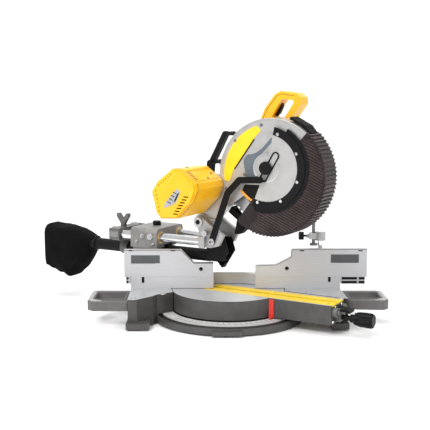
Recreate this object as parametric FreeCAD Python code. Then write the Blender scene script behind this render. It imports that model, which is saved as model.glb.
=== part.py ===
import FreeCAD, Part
import math
import os
from FreeCAD import Vector

os.makedirs("parts", exist_ok=True)

# Sliding miter saw, millimetres. World frame: Z up, the miter axis is the Z axis, the fence
# face is the plane Y = 0 and the bench is Z = 0. The arm is drawn straight in its own frame
# (t forward, w to the left, z up) and turned to the miter angle when it is exported.

MITER = 60.0            # miter angle the saw stands at, to the right
TABLE_Z = 82.9          # table surface
TABLE_R = 161.5         # turntable radius
RING_R = 217.0          # base ring radius
ARM_END = 338.0         # front of the turntable arm
ARM_W = 48.0            # half width of the turntable arm
FENCE_Z = 116.7         # top of the fixed fence
FENCE_Y = 18.0          # sliding fence thickness
RAIL_R = 13.0           # rail radius
RAIL_W = 48.7           # half spacing of the rails
RAIL_Z = 223.0          # rail height
PIPE_Z = 175.0          # dust pipe height
PIPE_R = 18.0           # dust pipe radius
FIT = 0.05              # running fit, radial
PIVOT = (-68.2, 278.7)  # chop pivot (t, z)
ARBOR = (148.0, 417.0)  # arbor
GUARD = (140.0, 440.0)  # lower guard pivot
MOTOR = (-67.0, 371.0)  # motor axis
LINK_LOW = (-23.7, 225.6)
LINK_TOP = (128.0, 408.0)
LOCK = (-40.0, 250.0)   # lock-down pin
BLADE_R = 152.4         # 12 inch blade
CHOP = 44.0             # chop angle
HANDLE_W = (-92.0, -46.0)
RING_ARC = (-112.0, 78.0)  # the part of the ring and hub disc that is black


# ---- solids in the world frame ------------------------------------------------------------

def box(x0, x1, y0, y1, z0, z1):
    return Part.makeBox(x1 - x0, y1 - y0, z1 - z0, Vector(x0, y0, z0))


def cyl(x, y, z, r, h, axis):
    return Part.makeCylinder(r, h, Vector(x, y, z), Vector(*axis))


def prism(points, depth):
    wire = Part.makePolygon([Vector(*p) for p in points + points[:1]])
    return Part.Face(wire).extrude(Vector(*depth))


def plan(points, z0, z1):
    return prism([(x, y, z0) for x, y in points], (0, 0, z1 - z0))


def front(points, y0, y1):
    return prism([(x, y0, z) for x, z in points], (0, y1 - y0, 0))


def post(x, y, r, z0, z1):
    return cyl(x, y, z0, r, z1 - z0, (0, 0, 1))


def tube(x, y, r_out, r_in, z0, z1):
    return post(x, y, r_out, z0, z1).cut(post(x, y, r_in, z0 - 1, z1 + 1))


def join(first, *others):
    return first.fuse(list(others)).removeSplitter()


def group(shapes):
    return Part.makeCompound(shapes)


# ---- solids in the arm frame --------------------------------------------------------------

def abox(t0, t1, w0, w1, z0, z1):
    return box(-w1, -w0, -t1, -t0, z0, z1)


def rod_w(centre, r, w0, w1):
    return cyl(-w1, -centre[0], centre[1], r, w1 - w0, (1, 0, 0))


def rod_t(w, z, r, t0, t1):
    return cyl(-w, -t1, z, r, t1 - t0, (0, 1, 0))


def rod_z(t, w, r, z0, z1):
    return cyl(-w, -t, z0, r, z1 - z0, (0, 0, 1))


def side(points, w0, w1):
    return prism([(-w1, -t, z) for t, z in points], (w1 - w0, 0, 0))


def polar(centre, r, angle):
    a = math.radians(angle)
    return (centre[0] + r * math.cos(a), centre[1] + r * math.sin(a))


def wedge(centre, r, a0, a1, w0, w1):
    steps = max(2, int((a1 - a0) / 30) + 1)
    fan = [polar(centre, r, a0 + (a1 - a0) * i / steps) for i in range(steps + 1)]
    return side([centre] + fan, w0, w1)


def sector(centre, r_in, r_out, a0, a1, w0, w1):
    ring = rod_w(centre, r_out, w0, w1).cut(rod_w(centre, r_in, w0 - 1, w1 + 1))
    return ring.common(wedge(centre, 2 * r_out, a0, a1, w0, w1))


def bar(p, q, half, w0, w1):
    length = math.dist(p, q)
    nt, nz = (q[1] - p[1]) / length * half, -(q[0] - p[0]) / length * half
    pts = [(p[0] + nt, p[1] + nz), (q[0] + nt, q[1] + nz), (q[0] - nt, q[1] - nz), (p[0] - nt, p[1] - nz)]
    return join(side(pts, w0, w1), rod_w(p, half, w0, w1), rod_w(q, half, w0, w1))


def save(name, shape):
    shape.exportStep("parts/%s.step" % name)


def save_arm(name, shape):
    turned = shape.copy()
    turned.rotate(Vector(0, 0, 0), Vector(0, 0, 1), MITER)
    save(name, turned)


# ---- base ---------------------------------------------------------------------------------

def base_casting():
    left = [(-281, 56), (-281, -14), (-277, -141), (-252, -138), (-211, -94), (-201, -76), (-150, -40),
            (-150, 24), (-242, 24), (-246, 56)]
    right = [(323, 56), (323, -14), (328, -127), (200, -53), (150, -24), (150, 24), (236, 24), (240, 56)]
    left_in = [(-275, 18), (-275, -14), (-271, -132), (-255, -130), (-217, -91), (-206, -70), (-172, -38),
               (-172, 18)]
    right_in = [(317, 28), (317, -14), (320, -116), (208, -51), (174, -31), (174, 18), (238, 18), (246, 28)]
    floor = post(0, 0, RING_R, 4, 18).cut(post(0, 0, 205, 3, 12))
    shell = join(floor, tube(0, 0, RING_R, 210.3, 17, 22), tube(0, 0, 196, 163.5, 17, 22),
                 post(0, 0, 34, 0, 29.7))
    for k in range(8):
        rib = box(30, 206, -3, 3, 4, 13)
        rib.rotate(Vector(0, 0, 0), Vector(0, 0, 1), 22.5 + 45 * k)
        shell = shell.fuse(rib)
    wings = plan(left, 4, TABLE_Z).fuse(plan(right, 4, TABLE_Z))
    wings = wings.cut(group([plan(left_in, 3, TABLE_Z - 7), plan(right_in, 3, TABLE_Z - 7)]))
    wings = wings.cut(post(0, 0, 163.5, 3, 90))
    wings = wings.cut(tube(0, 0, 210.3, 160, 18, 26.4))
    feet = box(-281, -218, -160, -100, 4, 20).fuse(box(280, 328, -155, -100, 4, 20))
    pad = box(-47, 34, -224, -190, 4, 16)
    bosses = post(269, 40, 15, 40, TABLE_Z).fuse(post(-262, 40, 15, 40, TABLE_Z))
    shell = join(shell, wings, feet.cut(post(0, 0, 212, 3, 40)), pad.cut(post(0, 0, 212, 3, 40)), bosses)
    bench_holes = post(-236, -148, 4.5, 3, 21).fuse(post(290, -148, 4.5, 3, 21))
    shell = shell.cut(post(0, 0, 10, 4, 40)).cut(post(269, 40, 8, 60, 90)).cut(bench_holes)
    return shell.cut(post(-262, 40, 8.1, 60, 90))


def base_feet():
    spots = [(-262, -128), (-250, 21), (308, -124), (303, 42), (-6, -207), (0, 200)]
    return group([post(x, y, 11, 0, 4) for x, y in spots])


def miter_scale():
    ring = tube(0, 0, 195.7, 163.8, 22, 26)
    slice_pts = [(0, 0), (-380, -84), (-300, -400), (300, -400), (380, -84)]
    return ring.common(plan(slice_pts, 21, 27))


def detent_plate():
    ring = tube(0, 0, 209.8, 196.3, 18, 22)
    slice_pts = [(0, 0), (-380, -84), (-300, -400), (300, -400), (380, -84)]
    plate = ring.common(plan(slice_pts, 17, 23))
    for a in (-50, -45, -31.6, -22.5, -15, 0, 15, 22.5, 31.6, 45, 60):
        n = box(-3, 3, -212, -204, 17, 23)
        n.rotate(Vector(0, 0, 0), Vector(0, 0, 1), a)
        plate = plate.cut(n)
    return plate


def carry_handle(sign):
    if sign < 0:
        outer = [(-281, 10), (-281, -14), (-277.4, -130), (-376, -130), (-390, -116), (-390, -4), (-376, 10)]
        hole = box(-372, -290, -104, -22, 40, 80)
    else:
        outer = [(323, 10), (323, -14), (327.3, -110), (429, -118), (443, -104), (443, -4), (429, 10)]
        hole = box(340, 425, -92, -22, 40, 80)
    return plan(outer, 48, 75).cut(hole)


def fixed_fence():
    left = front([(-281, TABLE_Z), (-281, FENCE_Z), (-42.6, FENCE_Z), (-42.6, 84.2), (-165, 84.2),
                  (-165, TABLE_Z)], 0, 22)
    right = front([(323, TABLE_Z), (323, FENCE_Z), (78.6, FENCE_Z), (78.6, 84.2), (165, 84.2),
                   (165, TABLE_Z)], 0, 22)
    arch = plan([(-90, 8), (-90, 34), (-58, 78), (62, 78), (128, 34), (128, 8)], 84.2, FENCE_Z)
    arch = arch.cut(plan([(-42.6, 0), (-66, 22), (-66, 32), (-42, 64), (46, 64), (104, 32), (104, 22),
                          (78.6, 0)], 80, 120))
    fence = join(left, right, arch)
    grooves = [box(-282, -42, 6.7, 13.3, 108.7, 117), box(78, 324, 6.7, 13.3, 108.7, 117)]
    slots = [box(-250, -242, -1, 5, 99, 117), box(288, 296, -1, 5, 102, 117)]
    studs = [cyl(-230, 13, 112, 3.5 + FIT, 10, (0, 1, 0)), cyl(214, 13, 112, 3.5 + FIT, 10, (0, 1, 0))]
    screws = [post(x, 17.6, 2.6, 80, 120) for x in (-262, -180, 180, 300)]
    return fence.cut(group(grooves + slots + studs)).cut(group(screws))


def fence_screws():
    return group([post(x, 17.6, 2.6, 84, FENCE_Z) for x in (-262, -180, 180, 300)])


def pivot_bolt():
    bolt = post(0, 0, 10, 4, 65.8).fuse(post(0, 0, 16, 60.4, 65.8))
    return bolt.removeSplitter()


# ---- sliding fences -----------------------------------------------------------------------

def fence_left():
    face = [(-300, 117), (-300, 196), (-136, 196), (-98.7, 158), (-42.6, 158), (-42.6, 117)]
    body = front(face, 0, FENCE_Y)
    body = body.cut(front([(-280, 180), (-197, 180), (-197, 170), (-210, 156), (-280, 156)], -1, 11))
    body = body.cut(front([(-285, 185), (-150, 185), (-150, 125), (-285, 125)], 13, FENCE_Y + 1))
    tongue = box(-280, -60, 7, 13, 109, 118)
    rails = box(-295, -290, 2, 16, 96, 118).fuse(box(-287, -282, 2, 16, 96, 118))
    return join(body, tongue, rails).cut(cyl(-78.6, -1, 140, 4, 30, (0, 1, 0)))


def fence_right():
    face = [(78.6, 117), (78.6, 151), (137.5, 153), (180.5, 175), (183, 198), (400, 199), (400, 117)]
    body = front(face, 0, FENCE_Y)
    body = body.cut(front([(295, 183), (376, 183), (376, 158), (308, 158), (295, 172)], -1, 11))
    body = body.cut(front([(190, 188), (388, 188), (388, 125), (190, 125)], 13, FENCE_Y + 1))
    tongue = box(96, 322, 7, 13, 109, 118)
    rails = box(326, 395, 2, 6, 96, 118).fuse(box(326, 395, 12, 16, 96, 118))
    return join(body, tongue, rails).cut(cyl(169, -1, 142, 4, 30, (0, 1, 0)))


def fence_knob(x):
    stud = cyl(x, 14, 112, 3.5, 12, (0, 1, 0))
    head = cyl(x, 24, 112, 12, 14, (0, 1, 0))
    for k in range(6):
        a = math.radians(60 * k)
        head = head.cut(cyl(x + 14 * math.cos(a), 23, 112 + 14 * math.sin(a), 4, 16, (0, 1, 0)))
    return join(stud, head)


# ---- work clamp ---------------------------------------------------------------------------

def clamp_arm():
    body = box(236, 262, 31, 49, 222, 240).fuse(tube(269, 40, 15, 8 + FIT, 218, 242))
    body = join(body, cyl(228, 40, 231, 6, 10, (1, 0, 0)))
    body = body.cut(post(249, 40, 5 + FIT, 200, 260))
    return body.cut(post(269, 40, 8 + FIT, 200, 260)).cut(cyl(222, 40, 231, 3 + FIT, 20, (1, 0, 0)))


def clamp_lock():
    return join(cyl(206, 40, 231, 12, 14, (1, 0, 0)), cyl(219, 40, 231, 3, 20, (1, 0, 0)))


def clamp_screw():
    wheel = post(249, 40, 14, 280, 289)
    for k in range(5):
        a = math.radians(72 * k)
        wheel = wheel.cut(post(249 + 17 * math.cos(a), 40 + 17 * math.sin(a), 5, 279, 290))
    return join(post(249, 40, 5, 206, 282), post(249, 40, 11, 203, 209), wheel)


# ---- turntable ----------------------------------------------------------------------------

def turntable():
    disc = post(0, 0, TABLE_R, 30, TABLE_Z).cut(post(0, 0, TABLE_R - 8, 29, 70))
    arm = abox(110, ARM_END, -ARM_W, ARM_W, 30, TABLE_Z).cut(abox(100, ARM_END - 8, -42, 42, 29, 68))
    tail = abox(-262, -140, -50, 50, 30, 70).cut(abox(-246, -120, -43, 43, 29, 62))
    trunnion = rod_t(0, TABLE_Z, 46, -262, -246).fuse(abox(-262, -246, -46, 46, 66, TABLE_Z))
    body = join(disc, arm, tail, trunnion, post(0, 0, 28, 30, 72))
    body = body.cut(abox(100, 158, -42, 42, 29, 68)).cut(abox(-158, -140, -43, 43, 29, 62))
    body = body.cut(abox(-57.5, ARM_END + 1, -36.5, 41.5, 78.7, 84))
    body = body.cut(abox(-58, 326, -16, 16, 66, 84))
    body = body.cut(rod_t(0, TABLE_Z, 8 + FIT, -263, -245))
    return body.cut(post(0, 0, 16.4, 60, 66.2)).cut(post(0, 0, 10 + FIT, 20, 60.2))


def kerf_plate(w0, w1):
    plate = abox(-57, ARM_END, w0, w1, 78.7, TABLE_Z)
    mid = (w0 + w1) / 2
    holes = [rod_z(t, mid, 3.2, 78, 84) for t in (-40, 140, 320)]
    return plate.cut(group(holes))


def kerf_screws():
    screws = []
    for w in (-21, 23.5):
        for t in (-40, 140, 320):
            screws.append(rod_z(t, w, 3.2, 78.7, TABLE_Z - 0.4))
    return group(screws)


def miter_pointer():
    return join(abox(157, 171, ARM_W, 52, 30, 80), abox(161, 167, ARM_W, 60, 27.2, 34))


def latch_housing():
    block = abox(ARM_END, 352, -20, 20, 34, 60)
    lugs = abox(ARM_END, 352, 16.4, 20, 59, 72).fuse(abox(ARM_END, 352, -20, -16.4, 59, 72))
    body = join(block, lugs).cut(rod_w((345, 66), 4 + FIT, -21, 21))
    return body.cut(rod_t(0, 44, 7 + FIT, 330, 353))


def miter_latch():
    paddle = abox(341, 379, -16, 16, 63, 69).fuse(rod_w((345, 66), 4, -19.6, 19.6))
    tip = abox(372, 379, -16, 16, 60, 64)
    return join(paddle, tip)


def detent_pin():
    return join(rod_z(203, 0, 3, 22.6, 60), rod_z(203, 0, 6, 40, 44))


def miter_lock():
    knob = rod_t(0, 44, 16.5, 388, 440)
    for k in range(6):
        c = polar((0, 44), 20, 60 * k)
        knob = knob.cut(rod_t(c[0], c[1], 5.5, 387, 441))
    return join(knob, rod_t(0, 44, 7, 339, 390), rod_t(0, 44, 11, 376, 389))


def bevel_lock():
    hub = rod_t(0, TABLE_Z, 17, -306, -293)
    arm = side([(-306, TABLE_Z), (-306, 32), (-298, 32), (-298, TABLE_Z)], -7, 7)
    grip = rod_t(0, 36, 9, -322, -298)
    bolt = rod_t(0, TABLE_Z, 8, -306, -245).fuse(rod_t(0, TABLE_Z, 12, -245.7, -239))
    return join(hub, arm, grip, bolt)


# ---- bevel arm and rails ------------------------------------------------------------------

def rail_housing():
    head = abox(-292, -199, -72, 72, 192, 250)
    edges = [e for e in head.Edges if abs(e.Vertexes[0].Y - e.Vertexes[-1].Y) > 50 and e.BoundBox.ZMin > 249]
    head = head.makeFillet(14, edges)
    column = abox(-292, -262.4, -60, 60, 100, 200).fuse(rod_t(0, TABLE_Z, 46, -292, -262.4))
    column = column.fuse(side([(-262.4, 150), (-262.4, 196), (-205, 196)], 38, 60))
    column = column.fuse(side([(-262.4, 150), (-262.4, 196), (-205, 196)], -60, -38))
    body = join(head, column)
    body = body.cut(abox(-293, -190, -32, 32, 150, 200))
    for w in (-RAIL_W, RAIL_W):
        body = body.cut(rod_t(w, RAIL_Z, 18, -293, -198))
    body = body.cut(rod_t(0, TABLE_Z, 8 + FIT, -293, -261))
    return body.cut(rod_z(-246, 0, 4 + FIT, 236, 256))


def rail_bearings():
    out = []
    for w in (-RAIL_W, RAIL_W):
        for t in (-292, -233):
            out.append(rod_t(w, RAIL_Z, 18, t, t + 34).cut(rod_t(w, RAIL_Z, RAIL_R + FIT, t - 1, t + 35)))
    return group(out)


def rail_lock():
    head = rod_z(-246, 0, 12, 250.6, 263)
    for k in range(6):
        c = polar((-246, 0), 14.5, 60 * k)
        head = head.cut(rod_z(c[0], c[1], 4, 250, 264))
    return join(head, rod_z(-246, 0, 4, 238, 252))


def slide_rails():
    out = []
    for w in (-RAIL_W, RAIL_W):
        out.append(rod_t(w, RAIL_Z, RAIL_R, -366, -45).cut(rod_t(w, RAIL_Z, RAIL_R - 2.5, -367, -44)))
    return group(out)


def pivot_bracket():
    cheek = [(-84, 290), (-74, 271), (-56, 216), (-20, 209), (-3, 214), (12, 246), (-30, 272), (-53, 290)]
    block = abox(-62, -44, -64, 64, 207, 239).fuse(abox(-45, -25, -51.5, 51.5, 207, 233))
    body = join(block, side(cheek, 38, 52), side(cheek, -52, -38), rod_w(PIVOT, 17, 38, 52),
                rod_w(PIVOT, 17, -52, -38), rod_w(LINK_LOW, 10, 50, 52))
    body = body.cut(rod_w(PIVOT, 9, -60, 60)).cut(rod_w(LOCK, 5 + FIT, 30, 60))
    body = body.cut(rod_w(LINK_LOW, 4, 40, 53))
    for w in (-RAIL_W, RAIL_W):
        body = body.cut(rod_t(w, RAIL_Z, RAIL_R, -66, -45))
    return body


def link_bolt():
    return join(rod_w(LINK_LOW, 4, 40, 60), rod_w(LINK_LOW, 7.5, 58, 61))


def pivot_pin():
    return join(rod_w(PIVOT, 9, -57, 57), rod_w(PIVOT, 14, 52, 57), rod_w(PIVOT, 14, -57, -52))


def return_spring():
    coils = []
    for k in range(4):
        ring = Part.makeTorus(15, 1.8, Vector(18.2 + 4.4 * k, -PIVOT[0], PIVOT[1]), Vector(1, 0, 0))
        coils.append(ring)
    return group(coils)


def lock_pin():
    return join(rod_w(LOCK, 5, 36.8, 66), rod_w(LOCK, 9, 62, 71))


def rear_bracket():
    block = abox(-374, -337, -68, 68, 207, 240)
    fork = join(abox(-361, -349, 12, 26, 238, 258),
                side([(-361, 250), (-376, 272), (-376, 281), (-369, 281), (-352, 258), (-349, 250)], 12, 26),
                side([(-349, 250), (-334, 272), (-334, 281), (-341, 281), (-358, 258), (-361, 250)], 12, 26))
    hanger = abox(-370, -345, -8, 8, 193, 208).fuse(rod_t(0, PIPE_Z, 22, -370, -345))
    body = join(block, fork, hanger).cut(rod_t(0, PIPE_Z, PIPE_R, -380, -330))
    for w in (-RAIL_W, RAIL_W):
        body = body.cut(rod_t(w, RAIL_Z, RAIL_R, -366, -330))
    return body


def dust_duct():
    outer = [(-60, 158), (-36, 158), (-21, 141), (12, 194), (0, 231), (-24.6, 231), (-24.6, 207), (-60, 207)]
    low = [(-56, 161), (-34, 161), (-20, 146), (60, 240), (-21, 240), (-21, 203), (-56, 203)]
    high = [(-56, 168), (60, 168), (60, 240), (-21, 240), (-21, 203), (-56, 203)]
    body = side(outer, -22, 22).cut(abox(-61, 20, 0, 23, 130, 165))
    body = body.cut(side(low, -19, 0)).cut(side(high, 0, 19))
    return body.cut(rod_t(0, PIPE_Z, 14, -62, -50))


def dust_pipe():
    body = rod_t(0, PIPE_Z, PIPE_R, -478, -60).cut(rod_t(0, PIPE_Z, PIPE_R - 2.5, -479, -59))
    return body


def dust_bag():
    sizes = [(-472, 172, 21, 21), (-520, 160, 40, 44), (-590, 140, 46, 76), (-640, 142, 36, 66),
             (-668, 146, 14, 44)]
    wires = []
    for t, z, half_w, half_z in sizes:
        pts = []
        for k in range(12):
            a = math.radians(30 * k)
            pts.append(Vector(-half_w * math.cos(a), -t, z + half_z * math.sin(a)))
        wires.append(Part.makePolygon(pts + pts[:1]))
    bag = Part.makeLoft(wires, True, True)
    return bag.cut(rod_t(0, PIPE_Z, PIPE_R, -480, -460))


# ---- head ---------------------------------------------------------------------------------

def lock_lug_centre():
    dt, dz = LOCK[0] - PIVOT[0], LOCK[1] - PIVOT[1]
    a = math.radians(CHOP)
    return (PIVOT[0] + dt * math.cos(a) - dz * math.sin(a), PIVOT[1] + dt * math.sin(a) + dz * math.cos(a))


def head_arm():
    beam = [(-84, 292), (-67, 312), (-11, 379), (25, 432), (80, 432), (78, 400), (28, 345), (-50, 264)]
    body = side(beam, -16, 30).fuse(rod_w(PIVOT, 22, -16, 36.4))
    body = body.cut(rod_w(ARBOR, 158, -40, 40))
    case = rod_w(MOTOR, 40, -41, 35).cut(rod_w(MOTOR, 14, -42, 36))
    web = side([(-100, 345), (-55, 400), (-5, 392), (-45, 335)], -16, 30).cut(rod_w(MOTOR, 14, -42, 36))
    web = web.cut(rod_w(ARBOR, 158, -40, 40))
    lug = side([(PIVOT[0] + 18, 270), (PIVOT[0] + 50, 268), (PIVOT[0] + 50, 286), (PIVOT[0] + 18, 290)], 24, 36)
    body = join(body, case, web, lug)
    body = body.cut(rod_w(PIVOT, 9 + FIT, -60, 60)).cut(rod_w(lock_lug_centre(), 5.4, 20, 40))
    return body


def upper_guard():
    shell = sector(ARBOR, 155, 158, 20, 215, -33, 33)
    wall_left = rod_w(ARBOR, 158, 30, 33).common(wedge(ARBOR, 320, 20, 215, 30, 33))
    wall_right = rod_w(ARBOR, 158, -33, -30).common(wedge(ARBOR, 320, 20, 215, -33, -30))
    hub_left = rod_w(GUARD, 60, 30, 33).fuse(rod_w(GUARD, 10, 32, 44))
    hub_right = rod_w(GUARD, 79.95, -40, -30)
    body = join(shell, wall_left, wall_right, hub_left, hub_right)
    return body.cut(rod_w(ARBOR, 16, -41, -29)).cut(rod_w((96, 470), 5 + FIT, -41, -29))


def guard_knob():
    knob = rod_w(GUARD, 17, 44.4, 52)
    return join(knob, rod_w(GUARD, 10, 44, 46))


def spindle_bearings():
    near = rod_w(ARBOR, 16, -40, -30).cut(rod_w(ARBOR, 8 + FIT, -41, -29))
    return near


def motor_outline():
    return [(-139, 375), (-122, 402), (-71, 440), (-48, 438), (0, 402), (4, 385), (-10, 352), (-57, 305),
            (-111, 301), (-124, 316)]


def scaled(points, k):
    return [(MOTOR[0] + (t - MOTOR[0]) * k, MOTOR[1] + (z - MOTOR[1]) * k) for t, z in points]


def motor_housing():
    body = side(motor_outline(), 35, 172).cut(side(scaled(motor_outline(), 0.93), 39, 173))
    body = body.cut(rod_w(MOTOR, 14, 30, 45))
    for k in range(4):
        body = body.cut(side([(-112 + 14 * k, 380), (-104 + 14 * k, 380), (-104 + 14 * k, 450),
                              (-112 + 14 * k, 450)], 150, 158))
    return body


def motor_cap():
    body = side(motor_outline(), 172, 180).fuse(side(scaled(motor_outline(), 0.93), 180, 188))
    body = body.cut(side(scaled(motor_outline(), 0.84), 171, 184))
    for k in range(7):
        t, z = -26 - 5.5 * k, 366 - 8 * k
        body = body.cut(abox(t - 8, t + 8, 180, 190, z - 1.8, z + 1.8))
    for k in range(6):
        body = body.cut(rod_w((-122 + 2.2 * k, 378 - 11 * k), 2, 180, 190))
        body = body.cut(rod_w((-112 + 7.6 * k, 394 + 6.2 * k), 2, 180, 190))
    bearing = rod_w(MOTOR, 13, 172, 185).cut(rod_w(MOTOR, 6 + FIT, 171, 182))
    return join(body, bearing)


def stator():
    ring = rod_w(MOTOR, 42, 66, 140).cut(rod_w(MOTOR, 29, 65, 141))
    cutter = [rod_w(polar(MOTOR, 33, 60 * k), 3, 65, 141) for k in range(6)]
    ring = ring.cut(group(cutter))
    feet = side(scaled(motor_outline(), 0.93), 96, 108).cut(rod_w(MOTOR, 41, 95, 109))
    return join(ring, feet)


def motor_bearing():
    return rod_w(MOTOR, 14, 30, 40).cut(rod_w(MOTOR, 6 + FIT, 29, 41))


def armature():
    core = rod_w(MOTOR, 28, 68, 138)
    for k in range(12):
        core = core.cut(rod_w(polar(MOTOR, 28, 30 * k), 2, 67, 139))
    fan = rod_w(MOTOR, 38, 150, 153)
    for k in range(8):
        blade = abox(MOTOR[0] + 10, MOTOR[0] + 36, 153, 162, MOTOR[1] - 1.2, MOTOR[1] + 1.2)
        blade.rotate(Vector(0, -MOTOR[0], MOTOR[1]), Vector(1, 0, 0), 45 * k)
        fan = fan.fuse(blade)
    return join(rod_w(MOTOR, 6, -57, 181), core, fan, rod_w(MOTOR, 12, -56, -45))


def belt_loop(pad, w0, w1):
    big, small = 30.0 + pad, 12.0 + pad
    span = math.dist(ARBOR, MOTOR)
    base_angle = math.degrees(math.atan2(MOTOR[1] - ARBOR[1], MOTOR[0] - ARBOR[0]))
    tangent = math.degrees(math.acos((big - small) / span))
    pts = [polar(ARBOR, big, base_angle + tangent), polar(MOTOR, small, base_angle + tangent),
           polar(MOTOR, small, base_angle - tangent), polar(ARBOR, big, base_angle - tangent)]
    return join(side(pts, w0, w1), rod_w(ARBOR, big, w0, w1), rod_w(MOTOR, small, w0, w1))


def drive_belt():
    return belt_loop(3.5, -56, -46).cut(belt_loop(0.4, -57, -45))


def belt_cover():
    body = belt_loop(16, -63, -41).cut(belt_loop(12, -60, -42))
    body = body.cut(rod_w(ARBOR, 18, -42.5, -40)).cut(rod_w(MOTOR, 15, -42.5, -40))
    return body


def dust_chute():
    outer = [(31, 342), (8, 309), (36, 288), (28, 247), (44, 247), (60, 261), (78, 300), (66, 340)]
    inner = [(36, 338), (20, 312), (44, 294), (36, 252), (46, 246), (56, 262), (73, 302), (62, 341)]
    body = side(outer, -15, 15).cut(side(inner, -12, 12))
    return body.cut(rod_w(ARBOR, 158.4, -40, 40))


def chute_mount():
    plate = side([(46, 366), (36, 340), (60, 350), (62, 372)], -15, 15)
    return plate.cut(rod_w(ARBOR, 158, -40, 40))


def handle():
    outer = [(72, 556), (90, 600), (122, 640), (140, 648), (185, 642), (201, 630), (202, 612), (168, 566),
             (160, 552)]
    inner = [(110, 574), (140, 622), (148, 626), (176, 622), (179, 616), (152, 576)]
    body = side(outer, *HANDLE_W).cut(side(inner, -100, -40))
    edges = [e for e in body.Edges if abs(e.Vertexes[0].X - e.Vertexes[-1].X) > 20]
    body = body.makeFillet(4, edges)
    stem = side([(112, 466), (84, 560), (158, 560), (172, 466)], -66, -46)
    stem = stem.cut(rod_w(ARBOR, 52, -70, -40))
    foot = side([(120, 470), (120, 500), (165, 500), (165, 470)], -46, -40)
    body = join(body, stem, foot)
    return body.cut(side(trigger_pocket(), -75.4, -62.6))


def grip_point(along, inward):
    u = (0.53, 0.848)
    return (110 + u[0] * along - u[1] * inward, 574 + u[1] * along + u[0] * inward)


def trigger_pocket():
    return [grip_point(7.4, -3), grip_point(48.6, -3), grip_point(48.6, 14), grip_point(7.4, 14)]


def trigger():
    outline = [grip_point(8, 7), grip_point(8, -5), grip_point(20, -9), grip_point(40, -7), grip_point(48, 0),
               grip_point(48, 7)]
    return side(outline, -75, -63)


def carry_grip():
    tube_ = bar((-58, 446), (-14, 528), 8, -18, -2)
    strut = rod_w((-14, 528), 6, -60, -4)
    low = rod_w((-58, 446), 6, -60, -4)
    side_bar = bar((-14, 528), (60, 444), 5, -60, -52)
    low_bar = bar((-58, 446), (-40, 415), 5, -60, -52)
    mount = bar((-58, 446), (-62, 404), 7, -16, 10)
    return join(tube_, strut, low, side_bar, low_bar, mount.cut(rod_w(MOTOR, 40, -42, 36)))


def spindle_lock():
    return join(rod_w((96, 470), 5, -56, -36), rod_w((96, 470), 8, -62, -55))


# ---- lower guard and its link -------------------------------------------------------------

def lower_guard():
    rim = sector(ARBOR, 159.5, 162.5, 250, 408, -39, 39)
    left = rod_w(ARBOR, 162.5, 36, 39).common(wedge(ARBOR, 330, 232, 408, 36, 39))
    left = left.fuse(sector(GUARD, 60, 100, *RING_ARC, 36, 39)).cut(rod_w(GUARD, 84, 35, 40))
    right = rod_w(ARBOR, 162.5, -39, -36).common(wedge(ARBOR, 330, 232, 408, -39, -36))
    right = right.fuse(rod_w(GUARD, 96, -39, -36)).cut(rod_w(GUARD, 80, -40, -35))
    return join(rim, left, right)


def hub_disc():
    disc = sector(GUARD, 10, 100, *RING_ARC, 39, 41.5).fuse(rod_w(GUARD, 40, 39, 41.5))
    return disc.cut(rod_w(GUARD, 10 + FIT, 38, 42))


def guard_ring():
    ring = sector(GUARD, 92, 114, *RING_ARC, 41.5, 43)
    return ring.cut(group(ring_holes(3, 41, 44)))


def ring_holes(r, w0, w1):
    return [rod_w(polar(GUARD, 98, a), r, w0, w1) for a in (70, 25, -20, -63, -105)]


def ring_screws():
    return group(ring_holes(3, 41.5, 43.8))


def guard_track():
    loop = bar((133, 414), (168, 474), 11, 41.5, 43.8).cut(bar((133, 414), (168, 474), 7.5, 41, 45))
    return loop.cut(rod_w(GUARD, 10 + FIT, 40, 46))


def guard_bumper():
    pts = [(199, 572), (202, 579), (246, 556), (262, 536), (252, 541), (230, 556)]
    pad = side(pts, -24, 24)
    return pad.cut(rod_w(ARBOR, 162.5, -40, 40))


def guard_link():
    path = [LINK_LOW, (28, 367), (65, 405), LINK_TOP]
    body = join(bar(path[0], path[1], 9, 52.4, 57.6), bar(path[1], path[2], 9, 52.4, 57.6),
                bar(path[2], path[3], 9, 52.4, 57.6))
    body = join(body, rod_w(LINK_TOP, 7, 52.4, 61))
    return body.cut(rod_w(LINK_LOW, 4 + FIT, 50, 60))


# ---- blade --------------------------------------------------------------------------------

def saw_blade():
    teeth = 60
    pts = []
    for k in range(teeth):
        a = 360.0 * k / teeth
        pts.append(polar(ARBOR, BLADE_R, a))
        pts.append(polar(ARBOR, BLADE_R - 1.5, a + 2.2))
        pts.append(polar(ARBOR, BLADE_R - 9, a + 4.4))
    body = side(pts, -1.3, 1.3)
    return body.cut(rod_w(ARBOR, 12.7, -2, 2))


def arbor_spindle():
    shaft = join(rod_w(ARBOR, 8, -58, 4), rod_w(ARBOR, 12.7, -1.3, 1.3))
    pulley = rod_w(ARBOR, 30, -56, -45)
    return join(shaft, pulley)


def blade_flanges():
    inner = rod_w(ARBOR, 24, -8, -1.3).cut(rod_w(ARBOR, 8, -9, 0))
    outer = rod_w(ARBOR, 24, 1.3, 7).cut(rod_w(ARBOR, 8, 0, 8))
    return group([inner, outer])


def arbor_bolt():
    head = [polar(ARBOR, 11, 60 * k) for k in range(6)]
    return join(rod_w(ARBOR, 8, 4, 8), rod_w(ARBOR, 15, 7, 10), side(head, 10, 18))


# ---- write the parts ----------------------------------------------------------------------

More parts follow.
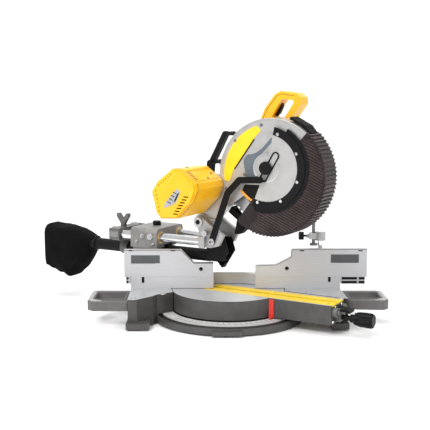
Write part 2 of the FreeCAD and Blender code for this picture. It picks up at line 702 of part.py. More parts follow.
save("base_casting", base_casting())
save("base_feet", base_feet())
save("miter_scale", miter_scale())
save("detent_plate", detent_plate())
save("carry_handles", group([carry_handle(-1), carry_handle(1)]))
save("fence_fixed", fixed_fence())
save("fence_screws", fence_screws())
save("pivot_bolt", pivot_bolt())
save("clamp_post", post(269, 40, 8, 60, 244))
save("fence_left", fence_left())
save("fence_right", fence_right())
save("fence_knob_left", fence_knob(-230))
save("fence_knob_right", fence_knob(214))
save("clamp_arm", clamp_arm())
save("clamp_lock", clamp_lock())
save("clamp_screw", clamp_screw())
save_arm("turntable", turntable())
save_arm("kerf_plates", group([kerf_plate(6, 41), kerf_plate(-36, -6)]))
save_arm("kerf_screws", kerf_screws())
save_arm("miter_pointer", miter_pointer())
save_arm("latch_housing", latch_housing())
save_arm("miter_latch", miter_latch())
save_arm("detent_pin", detent_pin())
save_arm("miter_lock", miter_lock())
save_arm("bevel_lock", bevel_lock())
save_arm("rail_housing", rail_housing())
save_arm("rail_bearings", rail_bearings())
save_arm("rail_lock", rail_lock())
save_arm("slide_rails", slide_rails())
save_arm("pivot_bracket", pivot_bracket())
save_arm("pivot_pins", group([pivot_pin(), link_bolt()]))
save_arm("return_spring", return_spring())
save_arm("lock_pin", lock_pin())
save_arm("rear_bracket", rear_bracket())
save_arm("dust_duct", group([dust_duct(), dust_pipe()]))
save_arm("dust_bag", dust_bag())
save_arm("head_arm", head_arm())
save_arm("upper_guard", upper_guard())
save_arm("guard_knob", guard_knob())
save_arm("bearings", group([spindle_bearings(), motor_bearing()]))
save_arm("motor_housing", motor_housing())
save_arm("motor_cap", motor_cap())
save_arm("stator", stator())
save_arm("armature", armature())
save_arm("drive_belt", drive_belt())
save_arm("belt_cover", belt_cover())
save_arm("dust_chute", join(dust_chute(), chute_mount()))
save_arm("handle", handle())
save_arm("trigger", trigger())
save_arm("carry_grip", carry_grip())
save_arm("spindle_lock", spindle_lock())
save_arm("lower_guard", lower_guard())
save_arm("hub_disc", hub_disc())
save_arm("guard_ring", group([guard_ring(), guard_track()]))
save_arm("ring_screws", ring_screws())
save_arm("guard_bumper", guard_bumper())
save_arm("guard_link", guard_link())
save_arm("saw_blade", saw_blade())
save_arm("blade_flanges", group(blade_flanges().Solids + [arbor_bolt()]))
save_arm("arbor_spindle", arbor_spindle())
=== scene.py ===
import math

import bmesh
import bpy
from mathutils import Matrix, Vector

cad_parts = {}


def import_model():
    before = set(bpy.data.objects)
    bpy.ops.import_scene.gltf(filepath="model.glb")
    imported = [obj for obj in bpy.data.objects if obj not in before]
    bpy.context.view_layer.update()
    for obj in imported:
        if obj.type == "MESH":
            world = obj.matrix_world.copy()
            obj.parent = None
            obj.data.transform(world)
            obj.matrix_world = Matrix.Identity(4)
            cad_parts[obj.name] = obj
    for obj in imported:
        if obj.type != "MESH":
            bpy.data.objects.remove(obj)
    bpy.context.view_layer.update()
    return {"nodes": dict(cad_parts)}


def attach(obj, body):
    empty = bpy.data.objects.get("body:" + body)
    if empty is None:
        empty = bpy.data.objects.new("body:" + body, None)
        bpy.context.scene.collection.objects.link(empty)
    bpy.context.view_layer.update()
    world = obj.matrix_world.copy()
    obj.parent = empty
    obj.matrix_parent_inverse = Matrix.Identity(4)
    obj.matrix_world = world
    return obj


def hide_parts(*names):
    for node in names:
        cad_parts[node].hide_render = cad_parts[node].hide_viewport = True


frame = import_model()
nodes = frame["nodes"]

# ---- the arm frame: t forward, w left, z up, in millimetres -------------------------------

C60, S60 = 0.5, math.sqrt(3) / 2
ARBOR, GUARD, MOTOR = (148.0, 417.0), (140.0, 440.0), (-67.0, 371.0)
MITER = (0, 0)
LINK_PIN = (-23.7, 225.6)
RAIL_WS, RAIL_Z = (-48.7, 48.7), 223
GUARD_FACE = 32.9       # w just inside the upper guard's left face
CHEEK_FACE = 38.9       # w just inside the lower guard's left cheek
LABEL_FACE = 188.8      # w just inside the motor label's face


def arm(t, w, z):
    return Vector(((S60 * t - C60 * w) / 1000, (-C60 * t - S60 * w) / 1000, z / 1000))


def world(x, y, z):
    return Vector((x / 1000, y / 1000, z / 1000))


def polar(c, r, a):
    return (c[0] + r * math.cos(math.radians(a)), c[1] + r * math.sin(math.radians(a)))


# ---- materials ----------------------------------------------------------------------------


def material(name, color, rough=0.5, metal=0.0, scale=60.0, vary=0.12, bump=0.0, stretch=(1, 1, 1),
             coat=0.0, alpha=1.0, bump_scale=None, spec=0.5):
    m = bpy.data.materials.new(name)
    m.use_nodes = True
    nt = m.node_tree
    b = nt.nodes["Principled BSDF"]
    b.inputs["Metallic"].default_value = metal
    b.inputs["Coat Weight"].default_value = coat
    b.inputs["Alpha"].default_value = alpha
    b.inputs["Specular IOR Level"].default_value = spec
    co = nt.nodes.new("ShaderNodeTexCoord")
    mp = nt.nodes.new("ShaderNodeMapping")
    mp.inputs["Scale"].default_value = stretch
    nt.links.new(co.outputs["Object"], mp.inputs["Vector"])
    n = nt.nodes.new("ShaderNodeTexNoise")
    n.inputs["Scale"].default_value = scale
    n.inputs["Detail"].default_value = 5
    nt.links.new(mp.outputs["Vector"], n.inputs["Vector"])
    ramp = nt.nodes.new("ShaderNodeValToRGB")
    ramp.color_ramp.elements[0].position = 0.3
    ramp.color_ramp.elements[1].position = 0.7
    lo = tuple(c * (1 - vary) for c in color)
    hi = tuple(min(1, c * (1 + vary)) for c in color)
    ramp.color_ramp.elements[0].color = (*lo, 1)
    ramp.color_ramp.elements[1].color = (*hi, 1)
    nt.links.new(n.outputs["Fac"], ramp.inputs["Fac"])
    nt.links.new(ramp.outputs["Color"], b.inputs["Base Color"])
    r = nt.nodes.new("ShaderNodeMapRange")
    r.inputs["To Min"].default_value = max(0.02, rough - 0.08)
    r.inputs["To Max"].default_value = min(1, rough + 0.08)
    nt.links.new(n.outputs["Fac"], r.inputs["Value"])
    nt.links.new(r.outputs["Result"], b.inputs["Roughness"])
    if bump:
        n2 = nt.nodes.new("ShaderNodeTexNoise")
        n2.inputs["Scale"].default_value = bump_scale or scale * 6
        n2.inputs["Detail"].default_value = 3
        nt.links.new(mp.outputs["Vector"], n2.inputs["Vector"])
        bp = nt.nodes.new("ShaderNodeBump")
        bp.inputs["Strength"].default_value = bump
        bp.inputs["Distance"].default_value = 0.0006
        nt.links.new(n2.outputs["Fac"], bp.inputs["Height"])
        nt.links.new(bp.outputs["Normal"], b.inputs["Normal"])
    return m


YELLOW = material("yellow plastic", (0.88, 0.46, 0.006), 0.38, 0, 30, 0.06, 0.25, coat=0.15)
YELLOW_FLAT = material("yellow paint", (0.88, 0.60, 0.012), 0.42, 0, 30, 0.05)
SILVER = material("silver paint", (0.46, 0.455, 0.45), 0.36, 0.55, 40, 0.06, 0.15)
CAST = material("cast aluminium", (0.44, 0.44, 0.44), 0.45, 0.6, 50, 0.12, 0.4)
MACHINED = material("machined aluminium", (0.50, 0.50, 0.515), 0.42, 0.35, 18, 0.06, 0.2, (1, 1, 40))
TABLE = material("table top", (0.60, 0.61, 0.62), 0.36, 0.7, 30, 0.07, 0.2)
SCALE = material("scale plate", (0.74, 0.74, 0.73), 0.35, 0.2, 60, 0.05)
STEEL = material("steel", (0.50, 0.50, 0.51), 0.32, 0.9, 60, 0.1, 0.1)
DARKSTEEL = material("dark steel", (0.18, 0.18, 0.19), 0.4, 0.8, 60, 0.15, 0.1)
CHROME = material("chrome", (0.78, 0.79, 0.80), 0.12, 1.0, 20, 0.04)
BRASS = material("bronze bush", (0.62, 0.42, 0.18), 0.35, 0.9, 50, 0.1)
BLACK = material("black plastic", (0.0055, 0.0055, 0.006), 0.5, 0, 80, 0.25, 0.3, spec=0.16)
RUBBER = material("black rubber", (0.005, 0.005, 0.0055), 0.65, 0, 60, 0.25, 0.4, spec=0.12)
BLACK_PAINT = material("black paint", (0.005, 0.005, 0.006), 0.42, 0.0, 60, 0.2, 0.1, spec=0.16)
GREY = material("dark grey paint", (0.066, 0.065, 0.063), 0.5, 0.2, 40, 0.14, 0.45)
GREY_LIGHT = material("grey paint", (0.115, 0.113, 0.11), 0.48, 0.2, 40, 0.12, 0.45)
WARM = material("warm grey cast", (0.23, 0.225, 0.215), 0.48, 0.35, 40, 0.14, 0.5)
RED = material("red plastic", (0.66, 0.03, 0.018), 0.35, 0, 40, 0.08)
ORANGE = material("amber edge", (0.75, 0.30, 0.03), 0.4, 0, 40, 0.1)
SMOKE = material("smoked plastic", (0.024, 0.017, 0.018), 0.3, 0, 25, 0.3, 0.0, alpha=0.88, spec=0.2)
RIB = material("smoked rib", (0.050, 0.034, 0.032), 0.4, 0, 25, 0.35, spec=0.2)
BLUE = material("blue grey recess", (0.13, 0.16, 0.19), 0.4, 0.3, 40, 0.08)
FABRIC = material("bag fabric", (0.0045, 0.0045, 0.005), 0.9, 0, 25, 0.3, 0.5, bump_scale=900, spec=0.08)
LABEL = material("label plate", (0.42, 0.43, 0.44), 0.35, 0.5, 40, 0.06)
RECESS = material("fence insert", (0.075, 0.08, 0.085), 0.5, 0.2, 40, 0.1, 0.2)
# Dark grey for the thin line under the fences' top edges: painted shadow of that edge.
EDGE_SHADOW = material("fence edge painted shadow", (0.16, 0.16, 0.16), 0.5, 0.3, 40, 0.1)
PAD = material("handle pad", (0.33, 0.33, 0.32), 0.55, 0.0, 40, 0.1, 0.3)
GOLD = material("gold line", (0.62, 0.42, 0.02), 0.45, 0.0, 40, 0.08)
BROWN = material("amber shadow", (0.20, 0.10, 0.006), 0.6, 0.0, 40, 0.1)
LAMIN = material("laminated iron", (0.30, 0.28, 0.26), 0.4, 0.8, 20, 0.2, 0.5, (1, 1, 1))

NODE_MATS = {
    "base_casting": GREY, "base_feet": RUBBER, "miter_scale": SCALE, "detent_plate": BLACK_PAINT,
    "carry_handles": GREY_LIGHT, "fence_fixed": MACHINED, "fence_screws": DARKSTEEL, "pivot_bolt": DARKSTEEL,
    "clamp_post": CHROME, "fence_left": MACHINED, "fence_right": MACHINED, "fence_knob_left": BLACK,
    "fence_knob_right": BLACK, "clamp_arm": CAST, "clamp_lock": BLACK, "clamp_screw": DARKSTEEL,
    "turntable": GREY, "kerf_plates": YELLOW_FLAT, "kerf_screws": DARKSTEEL, "miter_pointer": RED,
    "latch_housing": GREY_LIGHT, "miter_latch": BLACK, "detent_pin": STEEL, "miter_lock": BLACK,
    "bevel_lock": BLACK_PAINT, "rail_housing": WARM, "rail_bearings": BRASS, "rail_lock": BLACK,
    "slide_rails": CHROME, "pivot_bracket": CAST, "pivot_pins": STEEL, "return_spring": DARKSTEEL,
    "lock_pin": STEEL, "rear_bracket": GREY_LIGHT, "dust_duct": BLACK, "dust_bag": FABRIC,
    "head_arm": SILVER, "upper_guard": SILVER, "guard_knob": BLACK, "bearings": STEEL,
    "motor_housing": YELLOW, "motor_cap": YELLOW, "stator": LAMIN, "armature": LAMIN, "drive_belt": RUBBER,
    "belt_cover": BLACK, "dust_chute": RUBBER, "handle": YELLOW, "trigger": BLACK, "carry_grip": BLACK,
    "spindle_lock": BLACK, "lower_guard": SMOKE, "hub_disc": SILVER, "guard_ring": BLACK_PAINT,
    "ring_screws": STEEL, "guard_bumper": RUBBER, "guard_link": BLACK_PAINT, "saw_blade": STEEL,
    "blade_flanges": DARKSTEEL, "arbor_spindle": STEEL,
}
for name, obj in nodes.items():
    obj.data.materials.clear()
    obj.data.materials.append(NODE_MATS[name])

FACES_UP, TABLE_HEIGHT = 0.9, 0.078
for obj in (nodes["turntable"], nodes["base_casting"]):
    obj.data.materials.append(TABLE)
    for p in obj.data.polygons:
        if p.normal.z > FACES_UP and p.center.z > TABLE_HEIGHT:
            p.material_index = 1

# ---- mesh helpers -------------------------------------------------------------------------
# A place function takes an outline's two coordinates and a height. arm and world serve for flat work.


def on_side(t, z, w):
    return arm(t, w, z)


def on_end(w, z, t):
    return arm(t, w, z)


def on_front(x, z, y):
    return world(x, y, z)


def circle(c, r, n=24, a0=0.0, a1=360.0):
    full = abs(a1 - a0) >= 360
    return [polar(c, r, a0 + (a1 - a0) * i / (n if full else n - 1)) for i in range(n)]


def arc_band(c, r0, r1, a0, a1, n=24):
    return circle(c, r1, n, a0, a1) + circle(c, r0, n, a1, a0)


def bar(p, q, half):
    length = math.dist(p, q)
    nx, ny = (q[1] - p[1]) / length * half, -(q[0] - p[0]) / length * half
    return [(p[0] + nx, p[1] + ny), (q[0] + nx, q[1] + ny), (q[0] - nx, q[1] - ny), (p[0] - nx, p[1] - ny)]


def rect(x0, x1, y0, y1):
    return [(x0, y0), (x1, y0), (x1, y1), (x0, y1)]


def add_object(name, data):
    o = bpy.data.objects.new(name, data)
    bpy.context.scene.collection.objects.link(o)
    return o


def add_bevel(o, width, segments, angle):
    m = o.modifiers.new("bevel", "BEVEL")
    m.width = width / 1000
    m.segments = segments
    m.limit_method = "ANGLE"
    m.angle_limit = math.radians(angle)
    return m


class Shape:
    """Collects closed solids of one finish into one mesh."""

    def __init__(self):
        self.verts, self.faces = [], []

    def loft(self, rings, closed=False):
        n, base = len(rings[0]), len(self.verts)
        for ring in rings:
            self.verts += ring
        count = len(rings) if closed else len(rings) - 1
        for k in range(count):
            a, b = base + k * n, base + (k + 1) % len(rings) * n
            self.faces += [(a + i, a + (i + 1) % n, b + (i + 1) % n, b + i) for i in range(n)]
        if not closed:
            self.faces.append(tuple(base + i for i in range(n)))
            self.faces.append(tuple(base + (len(rings) - 1) * n + i for i in range(n)))
        return self

    def slab(self, outline, place, lo, hi, inset=0.0):
        cx = sum(p[0] for p in outline) / len(outline)
        cy = sum(p[1] for p in outline) / len(outline)

        def shrink(p):
            d = max(1e-6, math.dist(p, (cx, cy)))
            k = max(0.0, 1 - inset / d)
            return (cx + (p[0] - cx) * k, cy + (p[1] - cy) * k)

        rings = [[place(a, b, lo) for a, b in outline]]
        if inset:
            rings.append([place(a, b, hi - inset * (1 if hi > lo else -1)) for a, b in outline])
        rings.append([place(*shrink(p), hi) for p in outline])
        return self.loft(rings)

    def turned(self, c, place, profile, n=28):
        """profile is (radius, height) pairs along the axis."""
        return self.loft([[place(*p, h) for p in circle(c, r, n)] for r, h in profile])

    def washer(self, c, r0, r1, place, lo, hi, n=40):
        corners = [(r0, lo), (r1, lo), (r1, hi), (r0, hi)]
        rings = []
        for i in range(n):
            a = 360 * i / n
            rings.append([place(*polar(c, r, a), h) for r, h in corners])
        return self.loft(rings, closed=True)

    def make(self, name, mat, body, bevel=0.0, smooth=False):
        me = bpy.data.meshes.new(name)
        me.from_pydata([tuple(v) for v in self.verts], [], self.faces)
        bm = bmesh.new()
        bm.from_mesh(me)
        bmesh.ops.recalc_face_normals(bm, faces=bm.faces)
        bm.to_mesh(me)
        bm.free()
        me.materials.append(mat)
        for p in me.polygons:
            p.use_smooth = smooth
        o = add_object(name, me)
        if bevel:
            add_bevel(o, bevel, 2, 40)
        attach(o, body)
        return o


# ---- fences -------------------------------------------------------------------------------

Shape().slab([(-279.4, 179.4), (-197.6, 179.4), (-197.6, 170.2), (-210.3, 156.6), (-279.4, 156.6)],
             on_front, 10.9, 1.2, 0.8).make("fence_left_insert", RECESS, "fence_left_body")
Shape().slab([(295.8, 182.4), (375.4, 182.4), (375.4, 158.6), (308.3, 158.6), (295.8, 172.2)],
             on_front, 10.9, 1.2, 0.8).make("fence_right_insert", RECESS, "fence_right_body")

for side_name, x0, x1, z0, z1 in (("left", -280, -197, 157, 180.5), ("right", 295, 376, 158.5, 183)):
    Shape().slab(rect(x0, x1, z0, z1), on_front, 0.6, -0.4, 0.3).make(
        "fence_%s_cover" % side_name, RECESS, "fence_%s_body" % side_name)

for side_name, body, hole, tabs, bars, edge in (
        ("left", "fence_left_body", (-78.6, 140), ((-286, -276), (-166, -152)),
         ((-294.6, -287.4, 99, 105), (-294.6, -287.4, 109, 115)),
         [(-300, 196), (-136, 196), (-98.7, 158), (-42.6, 158)]),
        ("right", "fence_right_body", (169, 142), ((206, 218), (374, 386)),
         ((328, 372, 98, 105), (377, 394, 98, 105), (328, 372, 109, 116), (377, 394, 109, 116)),
         [(78.6, 151), (137.5, 153), (180.5, 175), (183, 198), (400, 199)])):
    dark = Shape().turned(hole, on_front, [(3.8, 6), (3.8, 3.4), (3.0, 3.0)])
    dark.washer(hole, 4.1, 5.6, on_front, 0.1, -0.5)
    for x0, x1 in tabs:
        dark.slab(rect(x0, x1, 192.5, 195.2), on_front, 0.1, -1.2, 0.4)
    for x0, x1, z0, z1 in bars:
        dark.slab(rect(x0, x1, z0, z1), on_front, 2.2, 1.2, 0.3)
    dark.make("fence_%s_marks" % side_name, BLACK, body)
    # A thin dark line just under each fence's top edge and slopes: painted shadow along that edge.
    edge_shadow = Shape()
    for p, q in zip(edge, edge[1:]):
        edge_shadow.slab(bar((p[0], p[1] - 1.1), (q[0], q[1] - 1.1), 0.9), on_front, 0.1, -0.5, 0.2)
    edge_shadow.make("fence_%s_lip" % side_name, EDGE_SHADOW, body)

# Black slabs set at the back of the two notches at the fence feet: painted shade inside the notches.
notch_shade = Shape()
for x0, x1, z0 in ((-249.6, -242.4, 99.4), (288.4, 295.6, 102.4)):
    notch_shade.slab([(x0, 116.5), (x0, z0 + 2), (x0 + 2, z0), (x1 - 2, z0), (x1, z0 + 2), (x1, 116.5)],
               on_front, 4.9, 0.9, 0.4)
notch_shade.make("fence_notch_shade", BLACK, "base")

# ---- base, scale and table ----------------------------------------------------------------

FRONT = 270             # the scale's zero, seen from above
ticks = Shape()
for step in range(-52, 63):
    a = FRONT + step
    r0, half = (170, 0.45) if step % 5 == 0 else (181, 0.3)
    ticks.slab(bar(polar(MITER, r0, a), polar(MITER, 192, a), half), world, 25.9, 26.15, 0.05)
ticks.make("scale_ticks", BLACK, "base")

teeth = Shape()
for step in range(-56, 67, 2):
    a = FRONT + step
    teeth.slab(bar(polar(MITER, 210.6, a), polar(MITER, 215.8, a), 1.6), world, 21.9, 23.4, 0.5)
teeth.make("ring_marks", GREY, "base")
Shape().slab(arc_band(MITER, 197, 215.5, 212, 330, 60), world, 21.8, 22.5, 0.2).make(
    "detent_band", BLACK_PAINT, "base")

lips = Shape()
for x0, x1, y0, y1 in ((-372, -290, -104, -22), (340, 425, -92, -22)):
    rings = []
    for a, b in zip(rect(x0, x1, y0, y1), rect(x0 - 5, x1 + 5, y0 - 5, y1 + 5)):
        rings.append([world(*a, 74.6), world(*b, 74.6), world(*b, 77.2), world(*a, 77.2)])
    lips.loft(rings, closed=True)
lips.make("carry_handle_lips", GREY_LIGHT, "base", bevel=1.0)
grip = Shape()
for outline in ([(-388, -112), (-376, -127), (-350, -127), (-377, -108), (-377, -4), (-386, -6)],
                [(441, -102), (429, -115), (404, -112), (430, -96), (430, -4), (439, -6)]):
    grip.slab(outline, world, 74.8, 77.6, 1)
grip.make("carry_handle_pads", PAD, "base", bevel=0.8)

bosses = Shape()
for x, y in ((-262, -128), (308, -124), (-185, -70), (225, -50)):
    bosses.turned((x, y), world, [(9, 82.6), (9, 83.6), (7.5, 84.4)])
    bosses.turned((x, y), world, [(4.4, 84.2), (4.4, 85.6), (3.6, 86.2)], 6)
bosses.make("table_bolts", STEEL, "base")

groove = Shape()
for w in (-30, 35):
    groove.slab(rect(-50, 334, w - 0.5, w + 0.5), arm, 82.8, 83.05, 0.1)
groove.make("kerf_plate_lines", GOLD, "turntable_body")

# ---- miter latch and lock -----------------------------------------------------------------

latch = Shape()
latch.turned((30, 62), on_end, [(13, 337), (13, 349), (11.5, 351)])
latch.turned((30, 62), on_end, [(6, 350.5), (6, 354), (5, 355)], 6)
latch.turned((-36, 62), on_end, [(11, 337), (11, 346), (9.5, 348)])
latch.make("arm_end_bosses", GREY_LIGHT, "turntable_body", bevel=0.5)
bolts = Shape()
for w, z in ((40, 38), (-38, 38), (22, 74), (-22, 74)):
    bolts.turned((w, z), on_end, [(4, 337.5), (4, 341), (3.2, 342)])
bolts.make("arm_end_bolts", CHROME, "turntable_body")

lobes = Shape()
for k in range(8):
    lobes.turned(polar((0, 44), 16.2, 45 * k), on_end,
                 [(2.6, 394), (4.2, 404), (5.0, 424), (4.6, 434), (3.0, 438)], 12)
lobes.make("miter_knob_ribs", BLACK, "miter_lock_body", smooth=True)

# ---- upper guard --------------------------------------------------------------------------

panel = circle(ARBOR, 143, 26, 107, 186) + [(22, 397), (36, 433), (95, 515), (119, 542)]
Shape().slab(panel, on_side, GUARD_FACE, 34.3, 0.4).make("guard_panel", YELLOW_FLAT, "head")
Shape().slab(bar((99, 517), (38, 433), 1.6), on_side, 33.9, 34.7, 0.3).make("guard_panel_line", BLACK, "head")
recess = circle(GUARD, 40, 10, 225, 130) + circle((152, 517), 5, 6, -40, 130)
recess += [(124, 494), (106, 481)] + circle((88, 454), 22, 10, 85, 190) + [(74, 412)]
Shape().slab(recess, on_side, GUARD_FACE, 33.8, 0.4).make("guard_recess", BLUE, "head")
Shape().slab(arc_band(ARBOR, 154.2, 157.6, 24, 212, 60), on_side, GUARD_FACE, 34.0, 0.5).make(
    "guard_rim", SILVER, "head")
screws = Shape()
for p in ((70, 420), (40, 512), (120, 556), (12, 378)):
    screws.turned(p, on_side, [(4.6, GUARD_FACE), (4.6, 34.6), (3.6, 35.2)], 20)
screws.make("guard_screws", DARKSTEEL, "head")
Shape().slab([(70, 392), (118, 392), (122, 350), (108, 334), (84, 345), (60, 372)], on_side, 29.5, 33.8,
             0.6).make("guard_corner_plate", BLACK, "head")
Shape().slab(arc_band(GUARD, 100, 107, 219, 247, 14), on_side, 33.6, 34.8, 0.5).make(
    "amber_strip", ORANGE, "head")

# ---- lower guard --------------------------------------------------------------------------

RIM_OUT = 165.4
RIB_SLOPE, RIB_STEP, RIB_POINT = -24, 7.0, 2


def on_cheek(p):
    """True on the smoked cheek outside the black band, short of its own ends and rim."""
    a = math.degrees(math.atan2(p[1] - ARBOR[1], p[0] - ARBOR[0])) % 360
    return math.dist(p, ARBOR) < 157 and math.dist(p, GUARD) > 126 and (a > 252 or a < 44)


ribs = Shape()
slope = (math.cos(math.radians(RIB_SLOPE)), math.sin(math.radians(RIB_SLOPE)))
for k in range(-22, 23):
    foot = (ARBOR[0] - slope[1] * RIB_STEP * k, ARBOR[1] + slope[0] * RIB_STEP * k)
    run = []
    for i in range(-80, 82):
        p = (foot[0] + slope[0] * RIB_POINT * i, foot[1] + slope[1] * RIB_POINT * i)
        if i < 81 and on_cheek(p):
            run.append(p)
            continue
        if len(run) > 4:
            ribs.slab(bar(run[0], run[-1], 1.2), on_side, CHEEK_FACE, 39.8, 0.3)
        run = []
ribs.make("lower_guard_ribs", RIB, "lower_guard_body")
Shape().slab(arc_band(GUARD, 112, 124, -108, 60, 40), on_side, CHEEK_FACE, 40.4, 0.4).make(
    "lower_guard_band", BLACK_PAINT, "lower_guard_body")
gills = Shape()
for k in range(40):
    a = 251.5 + 3.9 * k
    foot = arc_band(ARBOR, 162.2, RIM_OUT, a, a + 1.5, 2)
    gills.slab(foot, on_side, -38.6, 38.6, 0.3)
gills.make("lower_guard_gills", RIB, "lower_guard_body")
heads = Shape()
for a in (70, 25, -20, -63, -105):
    heads.turned(polar(GUARD, 98, a), on_side, [(4.2, 42.9), (4.2, 44.4), (3.0, 45.2)])
heads.make("ring_screw_heads", CHROME, "lower_guard_body")
Shape().washer(GUARD, 34, 39.4, on_side, 41.4, 42.1).make("hub_bead", CHROME, "lower_guard_body")
knurl = Shape()
for k in range(20):
    knurl.turned(polar(GUARD, 17, 18 * k), on_side, [(1.5, 45), (1.5, 50.6), (0.9, 51.4)], 10)
knurl.make("guard_knob_knurl", BLACK, "head")

# ---- motor --------------------------------------------------------------------------------

Shape().slab([(-54, 387), (-42, 380), (-56, 350), (-74, 339), (-96, 332), (-93, 345)], on_side, 187.8, 189.0,
             0.5).make("motor_label", LABEL, "head")
label = Shape()
for k in range(4):
    p, q = (-60 - 6 * k, 376 - 9 * k), (-56 - 9 * k, 368 - 7 * k)
    label.slab(bar((p[0] - 6, p[1] + 2), (p[0] + 5, p[1] - 3), 1.1), on_side, LABEL_FACE, 189.3, 0.2)
label.slab([(-52, 374), (-46, 376), (-57, 354), (-64, 350)], on_side, LABEL_FACE, 189.4, 0.3)
label.make("motor_label_marks", BLACK, "head")
facets = (((-71, 440), (-48, 438)), ((-48, 438), (0, 402)), ((0, 402), (4, 385)), ((4, 385), (-10, 352)),
          ((-10, 352), (-57, 305)))


def on_facet(facet, along, out):
    """The point along one flat of the motor's outline, moved out from it."""
    p, q = facet
    length = math.dist(p, q)
    u = ((q[0] - p[0]) / length, (q[1] - p[1]) / length)
    n = (-u[1], u[0]) if (-u[1]) * (p[0] - MOTOR[0]) + u[0] * (p[1] - MOTOR[1]) > 0 else (u[1], -u[0])
    return (p[0] + u[0] * along + n[0] * out, p[1] + u[1] * along + n[1] * out)


def facet_block(facet, start, end, out, taper=0.0):
    return [on_facet(facet, start, -0.5), on_facet(facet, end, -0.5),
            on_facet(facet, end - taper, out), on_facet(facet, start + taper, out)]


seams, slots, lids = Shape(), Shape(), Shape()
for facet in facets:
    seams.slab(facet_block(facet, 0, math.dist(*facet), 0.5), on_side, 171.4, 172.6)
for k, along, half, out, far in ((1, 8, 1.6, 2.0, 166), (1, 52, 1.6, 2.0, 166), (3, 12, 1.4, 1.8, 150),
                                 (3, 22, 1.4, 1.8, 150)):
    lids.slab(facet_block(facets[k], along - half, along + half, out, 0.6), on_side, 42, far, 0.4)
for k in range(6):
    slots.slab(facet_block(facets[1], 12 + 6.5 * k, 15 + 6.5 * k, 0.35), on_side, 148, 164)
for k, along, w in ((0, 12, 128), (1, 46, 96), (1, 30, 58)):
    rings = []
    for r, out in ((3.4, -1), (3.4, 1.6), (2.4, 2.2)):
        ring = []
        for a in [2 * math.pi * i / 16 for i in range(16)]:
            t, z = on_facet(facets[k], along + r * math.cos(a), out)
            ring.append(arm(t, w + r * math.sin(a), z))
        rings.append(ring)
    slots.loft(rings)
seams.make("motor_seam", BROWN, "head")
slots.make("motor_slots", BROWN, "head")
lids.make("motor_ribs", YELLOW, "head")

# ---- pivot bracket, rails and rear bracket ------------------------------------------------

hardware = Shape()
hardware.turned(LINK_PIN, on_side, [(10, 57.4), (10, 59.4), (8.6, 60.4)])
hardware.turned(LINK_PIN, on_side, [(5.5, 60.2), (5.5, 63.0), (4.6, 63.8)], 6)
hardware.make("link_bolt_head", STEEL, "carriage")
sockets = Shape()
sockets.turned((-68.2, 278.7), on_side, [(7.5, 56.8), (7.5, 58), (6, 58.6)], 6)
sockets.turned(LINK_PIN, on_side, [(3.2, 63.6), (3.2, 64.2), (2.6, 64.4)], 6)
sockets.make("pin_sockets", BLACK, "carriage")
caps = Shape()
for t, z, r in ((-222, 226, 10), (-250, 226, 7), (-270, 208, 5), (-212, 204, 5)):
    caps.turned((t, z), on_side, [(r, 71.6), (r, 74.6), (r - 1.4, 76)])
    caps.turned((t, z), on_side, [(r * 0.5, 75.8), (r * 0.5, 78), (r * 0.4, 78.6)], 6)
caps.make("rail_housing_caps", STEEL, "bevel_arm")

collars = Shape()
for w in RAIL_WS:
    collars.washer((w, RAIL_Z), 13.2, 21, on_end, -372, -341)
collars.make("rear_collars", WARM, "carriage", bevel=2.0)

# ---- handle -------------------------------------------------------------------------------

seam = Shape()
path = [(80, 562), (98, 598), (127, 634), (142, 640), (182, 634)]
for p, q in zip(path, path[1:]):
    seam.slab(bar(p, q, 0.8), on_side, -46.2, -45.6, 0.2)
seam.make("handle_seam", BROWN, "head")

# ---- dust bag -----------------------------------------------------------------------------

BAG_NECK, BAG_LENGTH, BAG_Z = -474, 178, 176
BAG_ROWS, BAG_SIDES, COLLAR_SIDES = 40, 56, 36
SQUARENESS = 0.5        # 1 gives an oval bag, less gives squarer sides


def bag_point(u, a):
    """u runs from the neck to the rear, a round the bag."""
    t = BAG_NECK - BAG_LENGTH * u
    flare = min(1.0, max(0.0, (u - 0.04) / 0.5)) ** 0.8
    half_w = 20 + 38 * flare - 14 * u
    top = 22 + 22 * flare + 8 * u
    low = 22 + 92 * min(1.0, flare * 1.15) - 38 * max(0.0, u - 0.4)
    c, s = math.cos(a), math.sin(a)
    w = half_w * math.copysign(abs(c) ** SQUARENESS, c)
    z = (top if s > 0 else low) * math.copysign(abs(s) ** SQUARENESS, s)
    wrinkle = 1.6 * math.sin(9 * u + 3 * a) + 1.1 * math.sin(17 * u - 5 * a) + 0.8 * math.sin(31 * u + 7 * a)
    wrinkle *= flare
    k = 1 + wrinkle / 60
    return arm(t + 0.4 * wrinkle, w * k, BAG_Z + z * k)


rings = []
for i in range(BAG_ROWS + 1):
    rings.append([bag_point(i / BAG_ROWS, 2 * math.pi * j / BAG_SIDES) for j in range(BAG_SIDES)])
closing = rings[-1]
mid = sum(closing, Vector()) / len(closing)
for k in (0.93, 0.8, 0.55, 0.25, 0.06):
    back = arm(-6 * (1 - k), 0, 0)
    rings.append([mid + (p - mid) * k + back for p in closing])
bag = Shape().loft(rings).make("bag_cloth", FABRIC, "carriage", smooth=True)
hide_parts("dust_bag")
collar = Shape()
collar.turned((0, BAG_Z), on_end, [(20.2, -470), (22.4, -471), (22.8, -480), (21.6, -484), (21.8, -492)],
              COLLAR_SIDES)
collar.make("bag_collar", BLACK, "carriage", smooth=True)

# ---- rounded edges on the CAD parts -------------------------------------------------------

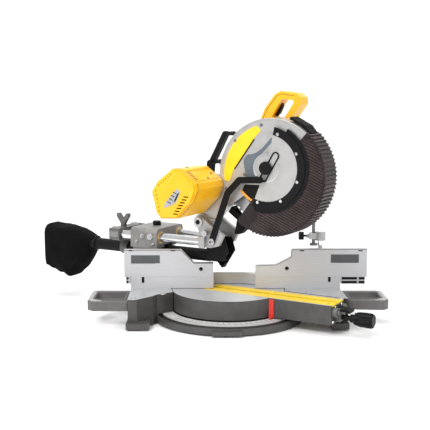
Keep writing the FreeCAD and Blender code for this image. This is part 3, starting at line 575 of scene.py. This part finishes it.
for name, width in (("base_casting", 1.2), ("turntable", 1.0), ("carry_handles", 3.0), ("motor_housing", 2.5),
                    ("motor_cap", 2.5), ("rail_housing", 3.0), ("head_arm", 1.5), ("pivot_bracket", 1.2),
                    ("rear_bracket", 1.5), ("latch_housing", 1.2), ("upper_guard", 1.0), ("handle", 2.0),
                    ("guard_link", 1.0), ("dust_chute", 1.0), ("belt_cover", 2.0), ("clamp_arm", 1.0),
                    ("guard_bumper", 0.8)):
    o = nodes[name]
    weld = o.modifiers.new("weld", "WELD")
    weld.merge_threshold = 0.00001
    edges = add_bevel(o, width, 3, 38)
    edges.use_clamp_overlap = True
    edges.harden_normals = True

# ---- stage, light and camera --------------------------------------------------------------


FLOOR_Z, FLOOR_FRONT, FLOOR_HALF = -0.0005, -14.0, 12
WALL_Y, WALL_TOP, COVE = 3.2, 5.0, 1.2
CAMERA, CAMERA_DIP, LENS, SENSOR = (-0.0382, -2.3726, 0.6234), 7.825, 70.17, 36


def area_light(name, loc, target, size, power):
    lamp = bpy.data.lights.new(name, "AREA")
    lamp.shape = "RECTANGLE"
    lamp.size, lamp.size_y = size
    lamp.energy = power
    o = add_object(name, lamp)
    o.location = loc
    o.rotation_euler = (Vector(target) - Vector(loc)).to_track_quat("-Z", "Y").to_euler()


def make_stage():
    floor_mat = material("floor", (0.93, 0.93, 0.93), 0.6, 0, 3, 0.01)
    profile = [(FLOOR_FRONT, FLOOR_Z), (WALL_Y - COVE, FLOOR_Z)]
    for a in range(10, 91, 10):
        s, c = math.sin(math.radians(a)), math.cos(math.radians(a))
        profile.append((WALL_Y - COVE + COVE * s, COVE - COVE * c + FLOOR_Z))
    profile.append((WALL_Y, WALL_TOP))
    verts = []
    for y, z in profile:
        verts += [(-FLOOR_HALF, y, z), (FLOOR_HALF, y, z)]
    faces = [(2 * i, 2 * i + 1, 2 * i + 3, 2 * i + 2) for i in range(len(profile) - 1)]
    me = bpy.data.meshes.new("floor")
    me.from_pydata(verts, [], faces)
    me.materials.append(floor_mat)
    for p in me.polygons:
        p.use_smooth = True
    o = add_object("floor", me)
    w = bpy.data.worlds.new("studio")
    bpy.context.scene.world = w
    w.use_nodes = True
    w.node_tree.nodes["Background"].inputs["Color"].default_value = (1, 1, 1, 1)
    w.node_tree.nodes["Background"].inputs["Strength"].default_value = 0.66
    area_light("key", (-1.6, -2.2, 2.6), (0, 0, 0.3), (1.5, 1.5), 85)
    area_light("fill", (2.4, -1.6, 1.6), (0, 0, 0.3), (1.6, 1.6), 25)
    area_light("top", (0.0, 0.4, 3.2), (0, 0, 0.2), (2.6, 2.6), 60)


make_stage()
cam_data = bpy.data.cameras.new("camera")
cam = add_object("camera", cam_data)
cam.location = CAMERA
cam.rotation_euler = (math.radians(90 - CAMERA_DIP), 0, 0)
cam_data.lens = LENS
cam_data.sensor_width = SENSOR
cam_data.clip_end = 50
bpy.context.scene.camera = cam
bpy.context.scene.view_settings.view_transform = "Standard"
